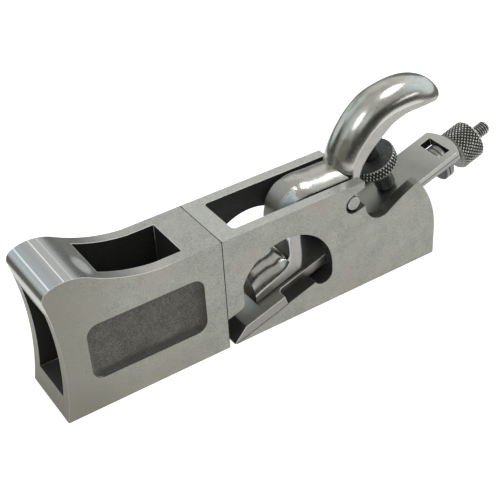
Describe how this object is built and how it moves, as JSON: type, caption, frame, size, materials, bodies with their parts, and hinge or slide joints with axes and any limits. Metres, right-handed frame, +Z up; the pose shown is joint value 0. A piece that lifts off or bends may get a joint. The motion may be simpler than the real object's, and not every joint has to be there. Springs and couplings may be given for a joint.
{
  "type": "three-way shoulder plane with bullnose front",
  "caption": "Narrow iron shoulder plane: an open-throated body with a long bolted nose, a full-width cutter, a hooked lever cap and a knurled depth adjuster.",
  "frame": {"origin": "on the sole, at the middle of the whole plane's length and width", "axes": "+X from the nose to the adjuster, +Y across the width, +Z up from the sole"},
  "size_m": [0.2038, 0.0286, 0.0766],
  "materials": {
    "ground_iron": "surface-ground satin sides and sole, polished roll on the nose, sooty cast inside",
    "polished_iron": "mirror-polished crown with satin ground sides",
    "tool_steel": "ground lengthwise",
    "turned_steel": "turned and diamond knurled"
  },
  "bodies": {
    "plane_body": {"body": "ground_iron", "nose": "ground_iron", "nose_screw": "turned_steel", "nose_dowels": "turned_steel", "adjuster_stud": "turned_steel"},
    "cutter": {"cutter": "tool_steel"},
    "adjuster_nut": {"adjuster_nut": "turned_steel"},
    "lever_cap": {"lever_cap": "polished_iron", "cap_pin": "turned_steel"},
    "cap_screw_spindle": {"cap_screw_spindle": "turned_steel"},
    "cap_screw_wheel": {"cap_screw_wheel": "turned_steel"}
  },
  "joints": [
    {"name": "cutter_slide", "type": "slide", "parent": "plane_body", "child": "cutter", "axis": [0.9527, 0, 0.304], "range_m": [-0.0008, 0.005]},
    {"name": "adjuster_turn", "type": "hinge", "parent": "cutter", "child": "adjuster_nut", "pos_m": [0.06335, 0, 0.02631], "axis": [0.9527, 0, 0.304], "range_deg": [-360, 2250]},
    {"name": "lever_cap_tilt", "type": "hinge", "parent": "plane_body", "child": "lever_cap", "pos_m": [0.02263, 0, 0.04007], "axis": [0, 1, 0], "range_deg": [0, 2.45]},
    {"name": "cap_screw_slide", "type": "slide", "parent": "lever_cap", "child": "cap_screw_spindle", "axis": [-0.4384, 0, 0.8988], "range_m": [0, 0.001]},
    {"name": "cap_screw_turn", "type": "hinge", "parent": "cap_screw_spindle", "child": "cap_screw_wheel", "pos_m": [0.04918, 0, 0.03121], "axis": [-0.4384, 0, 0.8988], "range_deg": [0, 360]}
  ],
  "couplings": [
    {"joint": "adjuster_turn", "follows": "cutter_slide", "rad_per_m": 7853.9},
    {"joint": "cap_screw_turn", "follows": "cap_screw_slide", "rad_per_m": 6283.1},
    {"joint": "lever_cap_tilt", "follows": "cap_screw_slide", "rad_per_m": 42.7}
  ]
}
